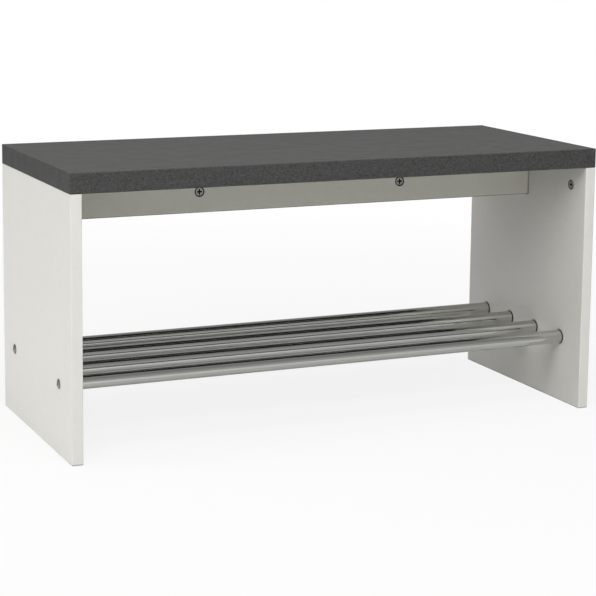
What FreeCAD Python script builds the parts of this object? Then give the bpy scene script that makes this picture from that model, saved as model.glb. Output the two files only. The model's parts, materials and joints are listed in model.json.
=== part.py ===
import FreeCAD, Part
import math
import os

# Entryway bench: a thick seat board on two side panels, with a rail under the seat and a rack of four tubes.
# Units are millimetres. X runs along the bench, -Y is its front and +Z is up. The origin is on the floor under
# the middle of the seat. Each node is written to parts/ as one STEP file.

V = FreeCAD.Vector
X, Y, Z = V(1, 0, 0), V(0, 1, 0), V(0, 0, 1)

# Overall sizes
bench_length = 800.0
bench_depth = 335.0
bench_height = 390.0

# Boards and their edge bands
seat_thickness = 28.0
panel_thickness = 16.0
rail_thickness = 16.0
rail_height = 60.0
band_thickness = 2.0
band_radius = 1.5
rail_band_thickness = 1.0
rail_band_radius = 0.7

# Tube rack
tube_count = 4
tube_pitch = 73.0
tube_axis_height = 98.0
tube_diameter = 20.0
tube_wall = 1.0
tube_end_chamfer = 0.3

# End plugs: a flange between tube and panel, and a body inside the tube
plug_flange_thickness = 1.5
plug_flange_overhang = 0.4
plug_body_length = 20.0
plug_spigot_diameter = 8.0
plug_spigot_length = 8.0

# Machine bolts that pull the panels onto the outer tubes, with a captive nut in each plug
bolt_diameter = 6.0
bolt_head_diameter = 14.0
bolt_head_height = 2.2
bolt_head_rim = 0.7
bolt_past_nut = 2.0
bolt_tip_chamfer = 0.8
nut_across_flats = 10.0
nut_thickness = 5.0

# Cam locks, and the bolts that they draw down from the seat
cam_diameter = 15.0
cam_below_seat = 30.0
cam_from_panel_edge = 40.0
cam_spacing_on_rail = 320.0
cam_face_recess = 0.4
cam_face_chamfer = 1.0
cam_floor = 1.0
cam_wall = 0.75
cam_eccentricity = 0.25
cam_slot_overrun = 28.0
cam_bolt_head_diameter = 7.0
cam_bolt_head_length = 3.5
cam_bolt_head_to_wall = 1.5
cam_bolt_neck_diameter = 4.6
cam_bolt_shank_diameter = 7.0
cam_bolt_shank_gap = 1.0
cam_bolt_thread_diameter = 6.0
cam_bolt_thread_length = 11.0

# Wooden dowels
dowel_diameter = 8.0
dowel_length = 30.0
dowel_in_thin_side = 11.0
dowel_chamfer = 1.0
seat_dowel_spacing = 120.0
rail_dowel_spacing = 32.0

# Cross recesses
bolt_cross_width = 6.4
cam_cross_width = 7.0
cross_slot = 1.5
cross_depth = 2.4
cross_floor_radius = 0.8
arrow_length = 1.6
arrow_depth = 0.4

# Clearances
running_clearance = 0.08
fixed_clearance = 0.05
bolt_hole_clearance = 0.3
bore_end_clearance = 0.2
head_clearance = 0.2

# Places that follow from the sizes above
half_length = bench_length / 2
half_depth = bench_depth / 2
seat_underside = bench_height - seat_thickness
panel_inner_x = half_length - panel_thickness
panel_middle_x = half_length - panel_thickness / 2
rail_bottom = seat_underside - rail_height
cam_height = seat_underside - cam_below_seat
cam_y = half_depth - cam_from_panel_edge
cam_hollow_radius = cam_diameter / 2 - cam_wall - cam_eccentricity
cam_hollow_height = cam_bolt_head_diameter + 2 * head_clearance
cam_behind_bolt = cam_hollow_height / 2 + cam_floor
cam_bolt_head_far = cam_hollow_radius - cam_bolt_head_to_wall
cam_bolt_head_near = cam_bolt_head_far - cam_bolt_head_length
cam_bolt_shank_start = cam_diameter / 2 + cam_bolt_shank_gap
tube_radius = tube_diameter / 2
tube_half_length = panel_inner_x - plug_flange_thickness
tube_rows = [(i - (tube_count - 1) / 2) * tube_pitch for i in range(tube_count)]
tube_names = ["tube_front", "tube_middle_front", "tube_middle_rear", "tube_rear"]
bolted_rows = [tube_rows[0], tube_rows[-1]]
sides = {"left": -1, "right": 1}


def box(x0, x1, y0, y1, z0, z1):
    return Part.makeBox(x1 - x0, y1 - y0, z1 - z0, V(x0, y0, z0))


def rod(diameter, start, direction, length):
    return Part.makeCylinder(diameter / 2, length, start, direction)


def circles(shape):
    return [e for e in shape.Edges if isinstance(e.Curve, Part.Circle)]


def chamfered_rod(diameter, start, direction, length, chamfer):
    """A cylinder with both end edges chamfered."""
    body = rod(diameter, start, direction, length)
    return body.makeChamfer(chamfer, circles(body))


def round_edges(shape, radius, chosen):
    """Fillets the edges for which chosen(lowest corner, highest corner) is true."""
    edges = []
    for edge in shape.Edges:
        b = edge.BoundBox
        if chosen(V(b.XMin, b.YMin, b.ZMin), V(b.XMax, b.YMax, b.ZMax)):
            edges.append(edge)
    return shape.makeFillet(radius, edges)


def same(a, b):
    return abs(a - b) < 1e-4


def lathe(points, start, direction):
    """Turns an outline of (radius, height) points about an axis from start along direction."""
    wire = Part.makePolygon([V(r, 0, h) for r, h in points] + [V(points[0][0], 0, points[0][1])])
    solid = Part.Face(wire).revolve(V(0, 0, 0), Z, 360)
    return aim(solid, start, direction)


def aim(shape, start, direction):
    """Moves a shape that was made at the origin, looking along +Z, to start and direction."""
    moved = shape.copy()
    moved.Placement = FreeCAD.Placement(start, FreeCAD.Rotation(Z, direction))
    return moved


def cross_recess(width):
    """A cross that narrows with depth: its mouth is at the origin and it goes down along -Z."""
    mouth = width / 2
    arms = [Part.makeBox(width, cross_slot, cross_depth, V(-mouth, -cross_slot / 2, -cross_depth))]
    arms.append(Part.makeBox(cross_slot, width, cross_depth, V(-cross_slot / 2, -mouth, -cross_depth)))
    taper = Part.makeCone(cross_floor_radius, mouth, cross_depth, V(0, 0, -cross_depth), Z)
    return arms[0].fuse(arms[1]).common(taper)


# Seat


def seat_board():
    board = box(
        -half_length + band_thickness, half_length - band_thickness,
        -half_depth + band_thickness, half_depth - band_thickness,
        seat_underside, bench_height,
    )
    return board.cut(Part.makeCompound(seat_bores()))


def seat_bores():
    """Blind holes in the underside for the cam bolts and the dowels."""
    bolts = rail_cam_places()
    dowels = []
    for side in sides.values():
        bolts += panel_cam_places(side)
        dowels += seat_dowel_places(side)
    bolt_bore = cam_bolt_thread_diameter + 2 * fixed_clearance
    dowel_bore = dowel_diameter + 2 * fixed_clearance
    bolt_depth = cam_bolt_thread_length + bore_end_clearance
    dowel_depth = dowel_in_thin_side + bore_end_clearance
    bores = [rod(bolt_bore, V(x, y, seat_underside), Z, bolt_depth) for x, y in bolts]
    return bores + [rod(dowel_bore, V(x, y, seat_underside), Z, dowel_depth) for x, y in dowels]


def seat_long_band(side):
    """The band along the front (-1) or the back (1), rounded round its whole outer face."""
    outer = side * half_depth
    inner = side * (half_depth - band_thickness)
    band = box(-half_length, half_length, min(outer, inner), max(outer, inner), seat_underside, bench_height)
    return round_edges(band, band_radius, lambda lo, hi: same(lo.y, outer) and same(hi.y, outer))


def seat_end_band(side):
    """The band across an end, between the two long bands."""
    outer = side * half_length
    inner = side * (half_length - band_thickness)
    reach = half_depth - band_thickness
    band = box(min(outer, inner), max(outer, inner), -reach, reach, seat_underside, bench_height)

    def along_outer_face(lo, hi):
        return same(lo.x, outer) and same(hi.x, outer) and same(hi.y - lo.y, 2 * reach)

    return round_edges(band, band_radius, along_outer_face)


# Side panels


def panel_cam_places(side):
    return [(side * panel_middle_x, y) for y in (-cam_y, cam_y)]


def seat_dowel_places(side):
    return [(side * panel_middle_x, y) for y in (-seat_dowel_spacing / 2, seat_dowel_spacing / 2)]


def panel(side):
    outer = side * half_length
    inner = side * panel_inner_x
    reach = half_depth - band_thickness
    board = box(min(outer, inner), max(outer, inner), -reach, reach, band_thickness, seat_underside)
    return board.cut(Part.makeCompound(panel_bores(side)))


def panel_bores(side):
    """Cam, cam bolt, dowel, tube bolt and spigot holes of one panel."""
    inner = side * panel_inner_x
    inward = X * -side
    dowel_bore = dowel_diameter + 2 * fixed_clearance
    bores = []
    for x, y in panel_cam_places(side):
        bores += cam_bores(V(inner, y, cam_height), inward, panel_thickness)
    for x, y in seat_dowel_places(side):
        depth = dowel_length - dowel_in_thin_side + bore_end_clearance
        bores.append(rod(dowel_bore, V(x, y, seat_underside), -Z, depth))
    for z in rail_dowel_heights():
        bores.append(rod(dowel_bore, V(inner, 0, z), -inward, dowel_in_thin_side + bore_end_clearance))
    for y in tube_rows:
        start = V(inner, y, tube_axis_height)
        if y in bolted_rows:
            bores.append(rod(bolt_diameter + 2 * bolt_hole_clearance, start, -inward, panel_thickness))
        else:
            length = plug_spigot_length + bore_end_clearance
            bores.append(rod(plug_spigot_diameter + 2 * fixed_clearance, start, -inward, length))
    return bores


def panel_upright_band(side, end):
    """The band up the front (-1) or back (1) edge of a panel, from the floor to the seat."""
    outer = end * half_depth
    inner = end * (half_depth - band_thickness)
    x0, x1 = sorted((side * half_length, side * panel_inner_x))
    band = box(x0, x1, min(outer, inner), max(outer, inner), 0, seat_underside)

    def rounded(lo, hi):
        on_outer_face = same(lo.y, outer) and same(hi.y, outer)
        on_top = same(lo.z, seat_underside)
        on_foot = same(hi.z, 0) and same(lo.x, hi.x)
        return (on_outer_face and not on_top) or on_foot

    return round_edges(band, band_radius, rounded)


def panel_bottom_band(side):
    reach = half_depth - band_thickness
    x0, x1 = sorted((side * half_length, side * panel_inner_x))
    band = box(x0, x1, -reach, reach, 0, band_thickness)
    return round_edges(band, band_radius, lambda lo, hi: same(hi.z, 0) and same(lo.x, hi.x))


# Rail under the seat


def rail_cam_places():
    return [(side * cam_spacing_on_rail / 2, 0) for side in sides.values()]


def rail_dowel_heights():
    middle = seat_underside - rail_height / 2
    return [middle - rail_dowel_spacing / 2, middle + rail_dowel_spacing / 2]


def rail():
    half = rail_thickness / 2
    low = rail_bottom + rail_band_thickness
    board = box(-panel_inner_x, panel_inner_x, -half, half, low, seat_underside)
    dowel_bore = dowel_diameter + 2 * fixed_clearance
    dowel_depth = dowel_length - dowel_in_thin_side + bore_end_clearance
    bores = []
    for x, y in rail_cam_places():
        bores += cam_bores(V(x, -half, cam_height), -Y, rail_thickness)
    for side in sides.values():
        for z in rail_dowel_heights():
            bores.append(rod(dowel_bore, V(side * panel_inner_x, 0, z), X * -side, dowel_depth))
    return board.cut(Part.makeCompound(bores))


def rail_band():
    half = rail_thickness / 2
    band = box(-panel_inner_x, panel_inner_x, -half, half, rail_bottom, rail_bottom + rail_band_thickness)
    return round_edges(band, rail_band_radius, lambda lo, hi: same(hi.z, rail_bottom) and same(lo.y, hi.y))


# Cam locks


def cam_bores(face_point, outward, board_thickness):
    """The round pocket for a cam, and the hole that its bolt comes down from the board's top edge."""
    depth = board_thickness / 2 + cam_behind_bolt + bore_end_clearance
    pocket = rod(cam_diameter + 2 * running_clearance, face_point, -outward, depth)
    top = face_point - outward * (board_thickness / 2)
    top.z = seat_underside
    shaft = rod(cam_bolt_shank_diameter + 2 * bolt_hole_clearance, top, -Z, cam_below_seat)
    return [pocket, shaft]


def cam_lock(face_point, outward, board_thickness):
    """A cam in its locked position. It is made looking along +Z, with the bolt arriving along +Y."""
    bolt_depth = board_thickness / 2
    back = -bolt_depth - cam_behind_bolt
    body = rod(cam_diameter, V(0, 0, back), Z, -cam_face_recess - back)
    rim = [e for e in circles(body) if same(e.BoundBox.ZMin, -cam_face_recess)]
    body = body.makeChamfer(cam_face_chamfer, rim)
    hollow_start = V(0, -cam_eccentricity, -bolt_depth - cam_hollow_height / 2)
    hollow = rod(2 * cam_hollow_radius, hollow_start, Z, cam_hollow_height)
    cuts = [hollow, cam_neck_slot(bolt_depth), cam_mouth(bolt_depth)]
    cross = cross_recess(cam_cross_width)
    cross.translate(V(0, 0, -cam_face_recess))
    cuts += [cross, cam_arrow()]
    for cut in cuts:
        body = body.cut(cut)
    turned = upright_frame(outward)
    turned.Base = face_point
    body.Placement = turned
    return body


def cam_neck_slot(bolt_depth):
    """The slot that the neck of the bolt passes while the cam makes its half turn."""
    height = cam_bolt_neck_diameter + 2 * head_clearance
    sweep = 180 + 2 * cam_slot_overrun
    slot = Part.makeCylinder(cam_diameter, height, V(0, 0, 0), Z, sweep)
    slot.rotate(V(0, 0, 0), Z, -90 - cam_slot_overrun)
    slot.translate(V(0, 0, -bolt_depth - height / 2))
    return slot


def cam_mouth(bolt_depth):
    """The mouth on the far side, where the head of the bolt goes in before the cam is turned."""
    return rod(cam_hollow_height, V(0, 0, -bolt_depth), -Y, cam_diameter)


def cam_arrow():
    """A small arrow on the face that points at the mouth."""
    root = -cam_cross_width / 2 - arrow_length / 4
    half = arrow_length / 2
    points = [V(-half, root, 0), V(half, root, 0), V(0, root - arrow_length, 0), V(-half, root, 0)]
    face = Part.Face(Part.makePolygon(points))
    arrow = face.extrude(V(0, 0, -2 * arrow_depth))
    arrow.translate(V(0, 0, -cam_face_recess + arrow_depth))
    return arrow


def upright_frame(outward):
    """A placement whose Z looks along outward and whose Y is the world's up."""
    return FreeCAD.Placement(V(0, 0, 0), FreeCAD.Rotation(Z.cross(outward), Z, outward, "ZYX"))


def cam_bolt(x, y):
    """One lathe-turned bolt: head in the cam, neck, shank in the board's edge and thread in the seat."""
    head = cam_bolt_head_diameter / 2
    neck = cam_bolt_neck_diameter / 2
    shank = cam_bolt_shank_diameter / 2
    thread = cam_bolt_thread_diameter / 2
    top = cam_below_seat + cam_bolt_thread_length
    outline = [
        (0, cam_bolt_head_near), (head, cam_bolt_head_near), (head, cam_bolt_head_far),
        (neck, cam_bolt_head_far), (neck, cam_bolt_shank_start), (shank, cam_bolt_shank_start),
        (shank, cam_below_seat), (thread, cam_below_seat), (thread, top - thread / 2),
        (thread / 2, top), (0, top),
    ]
    return lathe(outline, V(x, y, cam_height), Z)


# Tube rack


def tube(y):
    start = V(-tube_half_length, y, tube_axis_height)
    length = 2 * tube_half_length
    outer = chamfered_rod(tube_diameter, start, X, length, tube_end_chamfer)
    return outer.cut(rod(tube_diameter - 2 * tube_wall, start, X, length))


def plug(side, y):
    """An end plug. The outer tubes' plugs hold a nut, and the others have a spigot into the panel."""
    inward = X * -side
    start = V(side * panel_inner_x, y, tube_axis_height)
    body_diameter = tube_diameter - 2 * tube_wall - 2 * fixed_clearance
    body_end = start + inward * plug_flange_thickness
    flange = rod(tube_diameter + 2 * plug_flange_overhang, start, inward, plug_flange_thickness)
    shape = flange.fuse(rod(body_diameter, body_end, inward, plug_body_length))
    if y in bolted_rows:
        length = plug_flange_thickness + plug_body_length
        shape = shape.cut(rod(bolt_diameter + 2 * bolt_hole_clearance, start, inward, length))
        pocket_start = nut_place(side, y)
        return shape.cut(hexagon(nut_across_flats + 2 * fixed_clearance, pocket_start, inward, nut_thickness))
    return shape.fuse(rod(plug_spigot_diameter, start, -inward, plug_spigot_length))


def nut_place(side, y):
    """Where a nut starts, in the inner end of its plug."""
    into_tube = plug_flange_thickness + plug_body_length - nut_thickness
    return V(side * (panel_inner_x - into_tube), y, tube_axis_height)


def hexagon(across_flats, start, direction, length):
    radius = across_flats / math.sqrt(3)
    corners = [V(radius * math.cos(a), radius * math.sin(a), 0) for a in [math.pi / 3 * i for i in range(7)]]
    return aim(Part.Face(Part.makePolygon(corners)).extrude(Z * length), start, direction)


def nut(side, y):
    inward = X * -side
    start = nut_place(side, y)
    bore = rod(bolt_diameter + 2 * fixed_clearance, start, inward, nut_thickness)
    return hexagon(nut_across_flats, start, inward, nut_thickness).cut(bore)


def tube_bolt(side, y):
    """A low domed bolt, driven from outside through the panel and the plug into the nut."""
    start = V(side * half_length, y, tube_axis_height)
    head_radius = bolt_head_diameter / 2
    rise = bolt_head_height - bolt_head_rim
    crown = (head_radius**2 + rise**2) / (2 * rise)
    dome = Part.makeSphere(crown, V(0, 0, bolt_head_height - crown))
    head = rod(bolt_head_diameter, V(0, 0, 0), Z, bolt_head_height).common(dome)
    cross = cross_recess(bolt_cross_width)
    cross.translate(V(0, 0, bolt_head_height))
    head = aim(head.cut(cross), start, X * side)
    length = panel_thickness + plug_flange_thickness + plug_body_length + bolt_past_nut
    shank = rod(bolt_diameter, start, X * -side, length)
    tip = start + X * (-side * length)
    rims = [e for e in circles(shank) if same(e.BoundBox.XMin, tip.x)]
    return head.fuse(shank.makeChamfer(bolt_tip_chamfer, rims))


# Dowels


def seat_dowel(x, y):
    start = V(x, y, seat_underside + dowel_in_thin_side - dowel_length)
    return chamfered_rod(dowel_diameter, start, Z, dowel_length, dowel_chamfer)


def rail_dowel(side, z):
    start = V(side * (panel_inner_x + dowel_in_thin_side), 0, z)
    return chamfered_rod(dowel_diameter, start, X * -side, dowel_length, dowel_chamfer)


def bench():
    """Every node's shape by name."""
    nodes = {
        "seat_board": seat_board(),
        "seat_front_edge_band": seat_long_band(-1),
        "seat_back_edge_band": seat_long_band(1),
        "seat_left_edge_band": seat_end_band(-1),
        "seat_right_edge_band": seat_end_band(1),
        "apron_rail": rail(),
        "apron_rail_edge_band": rail_band(),
        "rail_cam_bolts": Part.makeCompound([cam_bolt(x, y) for x, y in rail_cam_places()]),
    }
    for name, side in sides.items():
        nodes[f"{name}_panel"] = panel(side)
        nodes[f"{name}_panel_front_edge_band"] = panel_upright_band(side, -1)
        nodes[f"{name}_panel_back_edge_band"] = panel_upright_band(side, 1)
        nodes[f"{name}_panel_bottom_edge_band"] = panel_bottom_band(side)
        nodes[f"{name}_cam_bolts"] = Part.makeCompound([cam_bolt(x, y) for x, y in panel_cam_places(side)])
        nodes[f"{name}_seat_dowels"] = Part.makeCompound([seat_dowel(x, y) for x, y in seat_dowel_places(side)])
        nodes[f"{name}_rail_dowels"] = Part.makeCompound([rail_dowel(side, z) for z in rail_dowel_heights()])
        nodes[f"{name}_tube_bolts"] = Part.makeCompound([tube_bolt(side, y) for y in bolted_rows])
        nodes[f"{name}_tube_nuts"] = Part.makeCompound([nut(side, y) for y in bolted_rows])
        for end, y in (("front", -cam_y), ("rear", cam_y)):
            face_point = V(side * panel_inner_x, y, cam_height)
            nodes[f"{name}_{end}_cam_lock"] = cam_lock(face_point, X * -side, panel_thickness)
        face_point = V(side * cam_spacing_on_rail / 2, -rail_thickness / 2, cam_height)
        nodes[f"rail_{name}_cam_lock"] = cam_lock(face_point, -Y, rail_thickness)
        for tube_name, y in zip(tube_names, tube_rows):
            nodes[f"{tube_name}_{name}_plug"] = plug(side, y)
    for tube_name, y in zip(tube_names, tube_rows):
        nodes[tube_name] = tube(y)
    return nodes


os.makedirs("parts", exist_ok=True)
for node_name, shape in bench().items():
    shape.exportStep(f"parts/{node_name}.step")
    print(f"{node_name}: {len(shape.Solids)} solid(s), {shape.Volume:.0f} mm3, valid {shape.isValid()}")
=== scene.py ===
import bpy
import json
import math
from mathutils import Matrix, Vector


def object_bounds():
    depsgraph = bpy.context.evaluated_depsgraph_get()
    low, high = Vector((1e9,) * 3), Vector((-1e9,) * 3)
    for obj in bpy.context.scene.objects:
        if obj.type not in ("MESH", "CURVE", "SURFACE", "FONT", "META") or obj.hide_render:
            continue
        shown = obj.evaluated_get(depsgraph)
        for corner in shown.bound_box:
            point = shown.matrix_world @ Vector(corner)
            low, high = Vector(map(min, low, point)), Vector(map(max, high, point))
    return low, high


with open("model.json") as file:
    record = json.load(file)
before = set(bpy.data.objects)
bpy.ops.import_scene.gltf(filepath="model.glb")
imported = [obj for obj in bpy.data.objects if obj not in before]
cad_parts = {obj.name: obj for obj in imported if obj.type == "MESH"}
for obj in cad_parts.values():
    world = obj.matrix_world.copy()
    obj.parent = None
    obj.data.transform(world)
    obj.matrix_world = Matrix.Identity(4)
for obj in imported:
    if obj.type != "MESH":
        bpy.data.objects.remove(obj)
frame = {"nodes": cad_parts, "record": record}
cadBox = [list(corner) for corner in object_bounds()]
nodes = frame["nodes"]
print("loaded", len(nodes), "pieces of the bench")

benchLow, benchHigh = (Vector(corner) for corner in cadBox)
benchCentre = (benchLow + benchHigh) / 2


# Node helpers

def newTree(name, kind="material"):
    if kind == "world":
        block = bpy.data.worlds.new(name)
    else:
        block = bpy.data.materials.new(name)
    block.use_nodes = True
    block.node_tree.nodes.clear()
    return block, block.node_tree


def addNode(tree, kind, settings=None, **inputs):
    node = tree.nodes.new(kind)
    for name, value in (settings or {}).items():
        setattr(node, name, value)
    for name, value in inputs.items():
        socket = node.inputs[name.replace("_", " ")]
        if isinstance(value, bpy.types.NodeSocket):
            tree.links.new(value, socket)
        else:
            socket.default_value = value
    return node


def maths(tree, operation, first, second=0.0):
    node = addNode(tree, "ShaderNodeMath", {"operation": operation})
    for socket, value in zip(node.inputs, (first, second)):
        if isinstance(value, bpy.types.NodeSocket):
            tree.links.new(value, socket)
        else:
            socket.default_value = value
    return node.outputs[0]


def mixColour(tree, amount, first, second):
    node = addNode(tree, "ShaderNodeMix", {"data_type": "RGBA"})
    for index, value in ((0, amount), (6, first), (7, second)):
        if isinstance(value, bpy.types.NodeSocket):
            tree.links.new(value, node.inputs[index])
        else:
            node.inputs[index].default_value = value
    return node.outputs[2]


def stretch(tree, value, fromLow, fromHigh, toLow, toHigh):
    node = addNode(tree, "ShaderNodeMapRange", Value=value)
    limits = {"From Min": fromLow, "From Max": fromHigh, "To Min": toLow, "To Max": toHigh}
    for name, number in limits.items():
        node.inputs[name].default_value = number
    return node.outputs[0]


def countedAxis(tree, value):
    # a used axis comes in one lower than it is; the unused one comes in at 0 and goes out large
    used = maths(tree, "LESS_THAN", value, -0.1)
    unused = maths(tree, "SUBTRACT", 1.0, used)
    return maths(tree, "ADD", maths(tree, "ADD", value, 1.0), maths(tree, "MULTIPLY", unused, 9.0))


def newGroup(name, inputs, outputs):
    group = bpy.data.node_groups.new(name, "ShaderNodeTree")
    for label, kind, value in inputs:
        socket = group.interface.new_socket(name=label, in_out="INPUT", socket_type=kind)
        socket.default_value = value
    for label, kind in outputs:
        group.interface.new_socket(name=label, in_out="OUTPUT", socket_type=kind)
    return group, group.nodes.new("NodeGroupInput").outputs, group.nodes.new("NodeGroupOutput").inputs


def placeGroup(tree, group, **inputs):
    node = tree.nodes.new("ShaderNodeGroup")
    node.node_tree = group
    for name, value in inputs.items():
        socket = node.inputs[name.replace("_", " ")]
        if isinstance(value, bpy.types.NodeSocket):
            tree.links.new(value, socket)
        else:
            socket.default_value = value
    return node.outputs


def rgb(red, green, blue):
    return (red, green, blue, 1.0)


# Effects that several finishes share. Lengths are in metres.

def makeEmboss():
    # the fine pearl that the press plate leaves in melamine and in moulded plastic
    group, given, out = newGroup(
        "pearlEmboss",
        [("Pearl Size", "NodeSocketFloat", 0.0006), ("Waviness", "NodeSocketFloat", 0.3)],
        [("Height", "NodeSocketFloat"), ("Gloss Change", "NodeSocketFloat")],
    )
    place = addNode(group, "ShaderNodeTexCoord").outputs["Object"]
    density = maths(group, "DIVIDE", 1.0, given["Pearl Size"])
    pearls = addNode(
        group, "ShaderNodeTexVoronoi", {"feature": "SMOOTH_F1"},
        Vector=place, Scale=density, Smoothness=0.6,
    ).outputs["Distance"]
    waves = addNode(
        group, "ShaderNodeTexNoise", Vector=place, Scale=9.0, Detail=2.0
    ).outputs["Fac"]
    swell = maths(group, "MULTIPLY", waves, given["Waviness"])
    group.links.new(maths(group, "ADD", pearls, swell), out["Height"])
    blotches = addNode(
        group, "ShaderNodeTexNoise", Vector=place, Scale=38.0, Detail=4.0, Roughness=0.6
    ).outputs["Fac"]
    group.links.new(stretch(group, blotches, 0.3, 0.7, -0.5, 0.5), out["Gloss Change"])
    return group


def makeFleck():
    # two sizes of darker and lighter flecks printed into a plain colour
    group, given, out = newGroup(
        "printedFleck",
        [
            ("Colour", "NodeSocketColor", rgb(0.1, 0.1, 0.1)),
            ("Dark Fleck", "NodeSocketColor", rgb(0.05, 0.05, 0.05)),
            ("Light Fleck", "NodeSocketColor", rgb(0.2, 0.2, 0.2)),
            ("Fleck Size", "NodeSocketFloat", 0.002),
            ("Dark Amount", "NodeSocketFloat", 0.5),
            ("Light Amount", "NodeSocketFloat", 0.3),
        ],
        [("Colour", "NodeSocketColor"), ("Fleck", "NodeSocketFloat")],
    )
    place = addNode(group, "ShaderNodeTexCoord").outputs["Object"]
    density = maths(group, "DIVIDE", 1.0, given["Fleck Size"])
    coarse = addNode(
        group, "ShaderNodeTexNoise", Vector=place, Scale=density, Detail=5.0, Roughness=0.75
    )
    finer = maths(group, "MULTIPLY", density, 2.7)
    fine = addNode(group, "ShaderNodeTexNoise", Vector=place, Scale=finer, Detail=3.0, Roughness=0.7)
    dark = stretch(group, coarse.outputs["Fac"], 0.48, 0.60, 0.0, 1.0)
    light = stretch(group, fine.outputs["Fac"], 0.52, 0.64, 0.0, 1.0)
    darkShare = maths(group, "MULTIPLY", dark, given["Dark Amount"])
    lightShare = maths(group, "MULTIPLY", light, given["Light Amount"])
    shaded = mixColour(group, darkShare, given["Colour"], given["Dark Fleck"])
    lit = mixColour(group, lightShare, shaded, given["Light Fleck"])
    group.links.new(lit, out["Colour"])
    group.links.new(maths(group, "SUBTRACT", light, dark), out["Fleck"])
    return group


def makeJointShade():
    # painted shade: darker colour where ambient occlusion finds a joint between boards, or a recess,
    # close by
    group, given, out = newGroup(
        "jointShade",
        [
            ("Colour", "NodeSocketColor", rgb(0.8, 0.8, 0.8)),
            ("Reach", "NodeSocketFloat", 0.004),
            ("Depth", "NodeSocketFloat", 0.5),
        ],
        [("Colour", "NodeSocketColor")],
    )
    near = addNode(
        group, "ShaderNodeAmbientOcclusion", {"samples": 8}, Distance=given["Reach"]
    ).outputs["AO"]
    hidden = stretch(group, near, 0.5, 0.95, 1.0, 0.0)
    share = maths(group, "MULTIPLY", hidden, given["Depth"])
    dark = mixColour(group, share, given["Colour"], rgb(0.03, 0.03, 0.028))
    group.links.new(dark, out["Colour"])
    return group


def makeWipedMetal():
    # fine hairlines and soft smears left on plated metal by wiping
    group, given, out = newGroup(
        "wipedMetal",
        [
            ("Hairline Size", "NodeSocketFloat", 0.0012),
            ("Smear Size", "NodeSocketFloat", 0.03),
            ("Run Along", "NodeSocketFloat", 0.04),
        ],
        [
            ("Gloss Change", "NodeSocketFloat"),
            ("Height", "NodeSocketFloat"),
            ("Tone", "NodeSocketFloat"),
        ],
    )
    place = addNode(group, "ShaderNodeTexCoord").outputs["Object"]
    apart = addNode(group, "ShaderNodeSeparateXYZ", Vector=place).outputs
    lengthways = maths(group, "MULTIPLY", apart["X"], given["Run Along"])
    along = addNode(
        group, "ShaderNodeCombineXYZ", X=lengthways, Y=apart["Y"], Z=apart["Z"]
    ).outputs[0]
    hairDensity = maths(group, "DIVIDE", 1.0, given["Hairline Size"])
    smearDensity = maths(group, "DIVIDE", 1.0, given["Smear Size"])
    hairs = addNode(
        group, "ShaderNodeTexNoise", Vector=along, Scale=hairDensity, Detail=4.0
    ).outputs["Fac"]
    smears = addNode(
        group, "ShaderNodeTexNoise", Vector=place, Scale=smearDensity, Detail=3.0
    ).outputs["Fac"]
    hairGloss = stretch(group, hairs, 0.35, 0.65, -0.25, 0.25)
    smearGloss = stretch(group, smears, 0.35, 0.65, -0.5, 0.5)
    group.links.new(maths(group, "ADD", hairGloss, smearGloss), out["Gloss Change"])
    group.links.new(hairs, out["Height"])
    group.links.new(stretch(group, hairs, 0.3, 0.7, -0.5, 0.5), out["Tone"])
    return group


def makeRimSlotShade():
    # painted shade on a round fitting: a dark ring round its rim and a dark cross over its cross slot,
    # in shares of its radius;
    # Across picks the two axes it is round in
    group, given, out = newGroup(
        "rimSlotShade",
        [
            ("Colour", "NodeSocketColor", rgb(0.5, 0.5, 0.5)),
            ("Start", "NodeSocketFloat", 0.85),
            ("Across", "NodeSocketVector", (1.0, 0.0, 1.0)),
            ("Cross Width", "NodeSocketFloat", 0.1),
            ("Cross Length", "NodeSocketFloat", 0.5),
        ],
        [("Colour", "NodeSocketColor")],
    )
    place = addNode(group, "ShaderNodeTexCoord").outputs["Generated"]
    centred = addNode(group, "ShaderNodeVectorMath", {"operation": "SUBTRACT"})
    centred.inputs[1].default_value = (0.5, 0.5, 0.5)
    flat = addNode(group, "ShaderNodeVectorMath", {"operation": "MULTIPLY"})
    length = addNode(group, "ShaderNodeVectorMath", {"operation": "LENGTH"})
    group.links.new(place, centred.inputs[0])
    group.links.new(centred.outputs[0], flat.inputs[0])
    group.links.new(given["Across"], flat.inputs[1])
    group.links.new(flat.outputs[0], length.inputs[0])
    radius = maths(group, "MULTIPLY", length.outputs["Value"], 2.0)
    past = maths(group, "SUBTRACT", radius, given["Start"])
    ring = stretch(group, past, -0.05, 0.05, 0.0, 0.96)
    sides = addNode(group, "ShaderNodeVectorMath", {"operation": "ABSOLUTE"})
    aside = addNode(group, "ShaderNodeVectorMath", {"operation": "SUBTRACT"})
    group.links.new(flat.outputs[0], sides.inputs[0])
    group.links.new(sides.outputs[0], aside.inputs[0])
    group.links.new(given["Across"], aside.inputs[1])
    apart = addNode(group, "ShaderNodeSeparateXYZ", Vector=aside.outputs[0]).outputs
    offX, offY, offZ = (countedAxis(group, apart[axis]) for axis in "XYZ")
    nearest = maths(group, "MINIMUM", maths(group, "MINIMUM", offX, offY), offZ)
    arm = maths(group, "LESS_THAN", maths(group, "MULTIPLY", nearest, 2.0), given["Cross Width"])
    inside = maths(group, "LESS_THAN", radius, given["Cross Length"])
    cross = maths(group, "MULTIPLY", maths(group, "MULTIPLY", arm, inside), 0.9)
    dark = maths(group, "MAXIMUM", ring, cross)
    group.links.new(mixColour(group, dark, given["Colour"], rgb(0.02, 0.02, 0.02)), out["Colour"])
    return group


pearlEmboss = makeEmboss()
printedFleck = makeFleck()
jointShade = makeJointShade()
wipedMetal = makeWipedMetal()
rimSlotShade = makeRimSlotShade()


def startFinish(name):
    material, tree = newTree(name)
    surface = tree.nodes.new("ShaderNodeBsdfPrincipled")
    output = tree.nodes.new("ShaderNodeOutputMaterial")
    tree.links.new(surface.outputs[0], output.inputs["Surface"])
    return material, tree, surface


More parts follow.
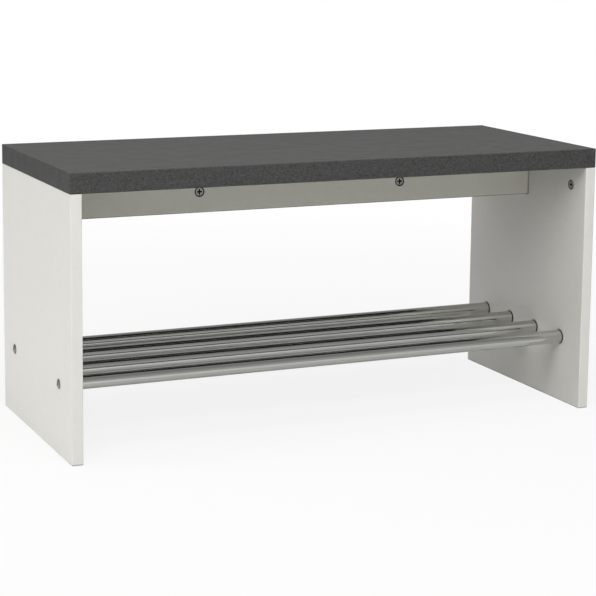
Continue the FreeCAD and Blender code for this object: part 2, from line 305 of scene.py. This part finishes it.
def variedRoughness(tree, surface, change, values):
    amount = maths(tree, "MULTIPLY", change, values["glossSpread"])
    tree.links.new(maths(tree, "ADD", amount, values["roughness"]), surface.inputs["Roughness"])


def bumpFrom(tree, surface, height, depth):
    bump = addNode(tree, "ShaderNodeBump", Height=height, Distance=depth)
    bump.inputs["Strength"].default_value = 1.0
    tree.links.new(bump.outputs[0], surface.inputs["Normal"])


# Boards

# The joint reach and joint depth in each board set how far and how dark the painted shade in its joints
# goes.
seatLaminate = {
    "colour": rgb(0.061, 0.061, 0.0595),
    "darkFleck": rgb(0.040, 0.040, 0.039),
    "lightFleck": rgb(0.115, 0.115, 0.111),
    "fleckSize": 0.0022,
    "darkAmount": 0.6,
    "lightAmount": 0.4,
    "pearlSize": 0.0009,
    "pearlDepth": 0.00004,
    "roughness": 0.46,
    "glossSpread": 0.06,
    "specular": 0.10,
    "jointShadeReach": 0.003,
    "jointShadeDepth": 0.5,
}
seatEdging = {
    "colour": rgb(0.053, 0.053, 0.052),
    "darkFleck": rgb(0.026, 0.026, 0.026),
    "lightFleck": rgb(0.125, 0.125, 0.125),
    "fleckSize": 0.0048,
    "darkAmount": 0.8,
    "lightAmount": 0.6,
    "pearlSize": 0.0011,
    "pearlDepth": 0.00007,
    "roughness": 0.5,
    "glossSpread": 0.08,
    "specular": 0.35,
    "jointShadeReach": 0.003,
    "jointShadeDepth": 0.5,
}
whiteBoard = {
    "colour": rgb(0.780, 0.770, 0.730),
    "darkFleck": rgb(0.740, 0.728, 0.690),
    "lightFleck": rgb(0.800, 0.792, 0.755),
    "fleckSize": 0.012,
    "darkAmount": 0.35,
    "lightAmount": 0.3,
    "pearlSize": 0.0008,
    "pearlDepth": 0.000022,
    "roughness": 0.4,
    "glossSpread": 0.05,
    "specular": 0.4,
    "jointShadeReach": 0.003,
    "jointShadeDepth": 0.7,
}
whiteEdging = {
    "colour": rgb(0.790, 0.780, 0.742),
    "darkFleck": rgb(0.760, 0.748, 0.712),
    "lightFleck": rgb(0.805, 0.797, 0.760),
    "fleckSize": 0.02,
    "darkAmount": 0.3,
    "lightAmount": 0.3,
    "pearlSize": 0.0013,
    "pearlDepth": 0.00002,
    "roughness": 0.36,
    "glossSpread": 0.05,
    "specular": 0.4,
    "jointShadeReach": 0.003,
    "jointShadeDepth": 0.7,
}
# the rail's board: a lighter, warmer copy of the white board, painted light for the rail's place in the
# seat's shade
paintedLightRailBoard = dict(whiteBoard, colour=rgb(0.800, 0.788, 0.700), darkFleck=rgb(0.765, 0.750, 0.665))
# the rail's edging: the white edging made dark grey, painting shade as dark lines along the rail's edges
shadeLineRailEdging = dict(whiteEdging, colour=rgb(0.30, 0.295, 0.28), darkFleck=rgb(0.24, 0.235, 0.22))


def boardFinish(name, values):
    material, tree, surface = startFinish(name)
    fleck = placeGroup(
        tree, printedFleck, Colour=values["colour"], Dark_Fleck=values["darkFleck"],
        Light_Fleck=values["lightFleck"], Fleck_Size=values["fleckSize"],
        Dark_Amount=values["darkAmount"], Light_Amount=values["lightAmount"],
    )
    # painted shade in the joints, from ambient occlusion
    shaded = placeGroup(
        tree, jointShade, Colour=fleck["Colour"], Reach=values["jointShadeReach"], Depth=values["jointShadeDepth"]
    )
    tree.links.new(shaded["Colour"], surface.inputs["Base Color"])
    pearl = placeGroup(tree, pearlEmboss, Pearl_Size=values["pearlSize"])
    variedRoughness(tree, surface, pearl["Gloss Change"], values)
    bumpFrom(tree, surface, pearl["Height"], values["pearlDepth"])
    surface.inputs["Specular IOR Level"].default_value = values["specular"]
    return material


# Metals

tubeChrome = {
    "colour": rgb(0.56, 0.563, 0.538),
    "roughness": 0.07,
    "glossSpread": 0.02,
    "hairlineSize": 0.0026,
    "smearSize": 0.05,
    "runAlong": 0.0015,
    "toneSpread": 0.30,
    "hairlineDepth": 0.0000035,
}
# the recess reach and depth set painted shade in the head's cross recess
boltNickel = {
    "colour": rgb(0.34, 0.335, 0.32),
    "roughness": 0.26,
    "glossSpread": 0.1,
    "hairlineSize": 0.0006,
    "smearSize": 0.004,
    "runAlong": 1.0,
    "toneSpread": 0.06,
    "hairlineDepth": 0.000004,
    "recessShadeReach": 0.002,
    "recessShadeDepth": 1.0,
}
# the recess, rim and cross values set painted shade: darker recesses, a dark ring at the rim and a dark
# cross over the slot
camZinc = {
    "colour": rgb(0.42, 0.41, 0.385),
    "roughness": 0.36,
    "glossSpread": 0.12,
    "hairlineSize": 0.0008,
    "smearSize": 0.003,
    "runAlong": 1.0,
    "toneSpread": 0.06,
    "hairlineDepth": 0.00001,
    "recessShadeReach": 0.002,
    "recessShadeDepth": 1.0,
    "rimShadeStart": 0.74,
    "crossShadeWidth": 0.17,
    "crossShadeLength": 0.55,
}
zincSteel = {
    "colour": rgb(0.52, 0.53, 0.52),
    "roughness": 0.32,
    "glossSpread": 0.1,
    "hairlineSize": 0.0007,
    "smearSize": 0.005,
    "runAlong": 1.0,
    "toneSpread": 0.06,
    "hairlineDepth": 0.000005,
}


def metalFinish(name, values, across=(1.0, 0.0, 1.0)):
    material, tree, surface = startFinish(name)
    wiped = placeGroup(
        tree, wipedMetal, Hairline_Size=values["hairlineSize"], Smear_Size=values["smearSize"],
        Run_Along=values["runAlong"],
    )
    tint = maths(tree, "MULTIPLY_ADD", wiped["Tone"], -values["toneSpread"])
    tint.node.inputs[2].default_value = 1.0
    toned = addNode(tree, "ShaderNodeVectorMath", {"operation": "SCALE"})
    toned.inputs[0].default_value = values["colour"][:3]
    tree.links.new(tint, toned.inputs["Scale"])
    shade = toned.outputs[0]
    # painted shade in the recesses, from ambient occlusion
    if "recessShadeReach" in values:
        shade = placeGroup(
            tree, jointShade, Colour=shade, Reach=values["recessShadeReach"], Depth=values["recessShadeDepth"]
        )["Colour"]
    # painted shade: a dark ring at the rim and a dark cross over the slot
    if "rimShadeStart" in values:
        shade = placeGroup(
            tree, rimSlotShade, Colour=shade, Start=values["rimShadeStart"], Across=across,
            Cross_Width=values["crossShadeWidth"], Cross_Length=values["crossShadeLength"],
        )["Colour"]
    tree.links.new(shade, surface.inputs["Base Color"])
    surface.inputs["Metallic"].default_value = 1.0
    variedRoughness(tree, surface, wiped["Gloss Change"], values)
    bumpFrom(tree, surface, wiped["Height"], values["hairlineDepth"])
    return material


# Small parts

blackPlastic = {
    "colour": rgb(0.018, 0.018, 0.017),
    "roughness": 0.45,
    "glossSpread": 0.08,
    "pearlSize": 0.0005,
    "pearlDepth": 0.00002,
}
beech = {
    "colour": rgb(0.56, 0.37, 0.21),
    "grainColour": rgb(0.42, 0.25, 0.13),
    "grainSize": 0.0012,
    "grainStretch": 0.08,
    "roughness": 0.62,
    "glossSpread": 0.1,
    "grainDepth": 0.00006,
}


def plasticFinish(name, values):
    material, tree, surface = startFinish(name)
    pearl = placeGroup(tree, pearlEmboss, Pearl_Size=values["pearlSize"])
    toned = mixColour(
        tree, maths(tree, "ADD", pearl["Gloss Change"], 0.5), values["colour"], rgb(0.032, 0.032, 0.030)
    )
    tree.links.new(toned, surface.inputs["Base Color"])
    variedRoughness(tree, surface, pearl["Gloss Change"], values)
    bumpFrom(tree, surface, pearl["Height"], values["pearlDepth"])
    return material


def woodFinish(name, values):
    material, tree, surface = startFinish(name)
    place = addNode(tree, "ShaderNodeTexCoord").outputs["Object"]
    along = addNode(tree, "ShaderNodeMapping", Vector=place)
    along.inputs["Scale"].default_value = (1.0, 1.0, values["grainStretch"])
    grain = addNode(
        tree, "ShaderNodeTexNoise", Vector=along.outputs[0], Scale=1 / values["grainSize"], Detail=5.0
    ).outputs["Fac"]
    vein = stretch(tree, grain, 0.35, 0.65, 0.0, 1.0)
    toned = mixColour(tree, vein, values["colour"], values["grainColour"])
    tree.links.new(toned, surface.inputs["Base Color"])
    variedRoughness(tree, surface, vein, values)
    bumpFrom(tree, surface, grain, values["grainDepth"])
    return material


finishes = {
    "seat_laminate": boardFinish("seatLaminate", seatLaminate),
    "seat_edging": boardFinish("seatEdging", seatEdging),
    "white_board": boardFinish("whiteBoard", whiteBoard),
    "white_edging": boardFinish("whiteEdging", whiteEdging),
    "tube_chrome": metalFinish("tubeChrome", tubeChrome),
    "bolt_nickel": metalFinish("boltNickel", boltNickel),
    "cam_zinc": metalFinish("camZinc", camZinc, across=(0.0, 1.0, 1.0)),
    "zinc_steel": metalFinish("zincSteel", zincSteel),
    "black_plastic": plasticFinish("blackPlastic", blackPlastic),
    "beech": woodFinish("beech", beech),
}
ownFinishes = {
    "rail_left_cam_lock": metalFinish("railCamZinc", camZinc, across=(1.0, 0.0, 1.0)),
    "apron_rail": boardFinish("paintedLightRailBoard", paintedLightRailBoard),
    "apron_rail_edge_band": boardFinish("shadeLineRailEdging", shadeLineRailEdging),
}
ownFinishes["rail_right_cam_lock"] = ownFinishes["rail_left_cam_lock"]
print("made", len(finishes) + 3, "finishes")

for part in frame["record"]["subparts"]:
    piece = nodes[part["node"]]
    piece.data.materials.clear()
    piece.data.materials.append(ownFinishes.get(part["node"]) or finishes[part["material_slot"]])


# Floor, world and lamps

studio = {
    "floorSize": 14.0,
    "floorColour": rgb(0.66, 0.66, 0.65),
    "floorGap": 0.0004,     # how far the floor lies below the panels' feet
    "nearGlow": 0.85,       # share of the floor's look that is plain white to the camera, near the bench
    "glowReach": (0.55, 1.9),   # metres from the bench's middle over which that share grows to all of it
    "roomLight": 0.15,
    "lowMirror": 0.55,      # what polished metal sees round the bench, above it, and on its dim left
    "highMirror": 0.30,
    "leftMirror": 0.30,
}


def makeFloor():
    half = studio["floorSize"] / 2
    level = benchLow.z - studio["floorGap"]
    corners = [(-half, -half, level), (half, -half, level), (half, half, level), (-half, half, level)]
    mesh = bpy.data.meshes.new("floor")
    mesh.from_pydata(corners, [], [(0, 1, 2, 3)])
    floor = bpy.data.objects.new("floor", mesh)
    bpy.context.scene.collection.objects.link(floor)
    material, tree = newTree("paleFloor")
    diffuse = addNode(tree, "ShaderNodeBsdfDiffuse", Color=studio["floorColour"])
    white = addNode(tree, "ShaderNodeEmission", Color=rgb(1, 1, 1), Strength=1.0)
    rays = addNode(tree, "ShaderNodeLightPath").outputs
    place = addNode(tree, "ShaderNodeTexCoord").outputs["Object"]
    away = addNode(tree, "ShaderNodeVectorMath", {"operation": "LENGTH"})
    tree.links.new(place, away.inputs[0])
    glow = stretch(tree, away.outputs["Value"], *studio["glowReach"], studio["nearGlow"], 1.0)
    share = maths(tree, "MULTIPLY", rays["Is Camera Ray"], glow)
    mixed = addNode(tree, "ShaderNodeMixShader", Fac=share)
    tree.links.new(diffuse.outputs[0], mixed.inputs[1])
    tree.links.new(white.outputs[0], mixed.inputs[2])
    output = tree.nodes.new("ShaderNodeOutputMaterial")
    tree.links.new(mixed.outputs[0], output.inputs["Surface"])
    mesh.materials.append(material)


def makeWorld():
    world, tree = newTree("studioWorld", "world")
    place = addNode(tree, "ShaderNodeTexCoord").outputs["Generated"]
    apart = addNode(tree, "ShaderNodeSeparateXYZ", Vector=place).outputs
    rays = addNode(tree, "ShaderNodeLightPath").outputs
    height = stretch(tree, apart["Z"], 0.0, 0.7, studio["lowMirror"], studio["highMirror"])
    aside = stretch(tree, apart["X"], -0.6, 0.1, studio["leftMirror"], 1.0)
    mirror = maths(tree, "MULTIPLY", height, aside)
    level = addNode(tree, "ShaderNodeMix", {"data_type": "FLOAT"})
    tree.links.new(rays["Is Glossy Ray"], level.inputs[0])
    level.inputs[2].default_value = studio["roomLight"]
    tree.links.new(mirror, level.inputs[3])
    room = addNode(tree, "ShaderNodeBackground", Color=rgb(1, 1, 1), Strength=level.outputs[0])
    seen = addNode(tree, "ShaderNodeBackground", Color=rgb(1, 1, 1), Strength=1.0)
    mixed = addNode(tree, "ShaderNodeMixShader", Fac=rays["Is Camera Ray"])
    tree.links.new(room.outputs[0], mixed.inputs[1])
    tree.links.new(seen.outputs[0], mixed.inputs[2])
    output = tree.nodes.new("ShaderNodeOutputWorld")
    tree.links.new(mixed.outputs[0], output.inputs["Surface"])
    bpy.context.scene.world = world


# Each lamp: where it stands from the bench's middle, its width and height, and its power in watts.
lamps = {
    "topSoftbox": {"place": (0.0, -0.5, 2.4), "size": (2.6, 1.8), "power": 45.0, "mirrored": False},
    "frontSoftbox": {"place": (-0.8, -2.0, 2.1), "size": (2.4, 1.8), "power": 54.0, "mirrored": True},
    "leftSoftbox": {"place": (-2.4, 0.5, 0.8), "size": (1.4, 1.4), "power": 23.0, "mirrored": True},
}


def makeLamps():
    for name, values in lamps.items():
        data = bpy.data.lights.new(name, "AREA")
        data.shape = "RECTANGLE"
        data.size, data.size_y = values["size"]
        data.energy = values["power"]
        lamp = bpy.data.objects.new(name, data)
        lamp.visible_glossy = values["mirrored"]
        lamp.location = benchCentre + Vector(values["place"])
        lamp.rotation_euler = (benchCentre - lamp.location).to_track_quat("-Z", "Y").to_euler()
        bpy.context.scene.collection.objects.link(lamp)


cameraValues = {
    "place": (-1.0787, -2.3933, 0.7060),
    "turn": -24.18,       # degrees about the vertical, from looking straight at the bench's front
    "tilt": -8.58,
    "roll": 0.62,
    "lens": 109.5,
    "sensor": 36.0,
    "shift": (0.0015, -0.1635),
}


def makeCamera():
    data = bpy.data.cameras.new("camera")
    data.sensor_width = cameraValues["sensor"]
    data.lens = cameraValues["lens"]
    data.shift_x, data.shift_y = cameraValues["shift"]
    turn, tilt, roll = (math.radians(cameraValues[k]) for k in ("turn", "tilt", "roll"))
    ahead = Vector((-math.sin(turn) * math.cos(tilt), math.cos(turn) * math.cos(tilt), math.sin(tilt)))
    aside = Vector((math.cos(turn), math.sin(turn), 0))
    upward = aside.cross(ahead)
    right = aside * math.cos(roll) + upward * math.sin(roll)
    top = upward * math.cos(roll) - aside * math.sin(roll)
    camera = bpy.data.objects.new("camera", data)
    axes = Matrix((right, top, -ahead)).transposed().to_4x4()
    camera.matrix_world = Matrix.Translation(Vector(cameraValues["place"])) @ axes
    bpy.context.scene.collection.objects.link(camera)
    bpy.context.scene.camera = camera


makeFloor()
makeWorld()
makeLamps()
makeCamera()
bpy.context.scene.view_settings.view_transform = "Standard"
print("lit the studio and set the camera")
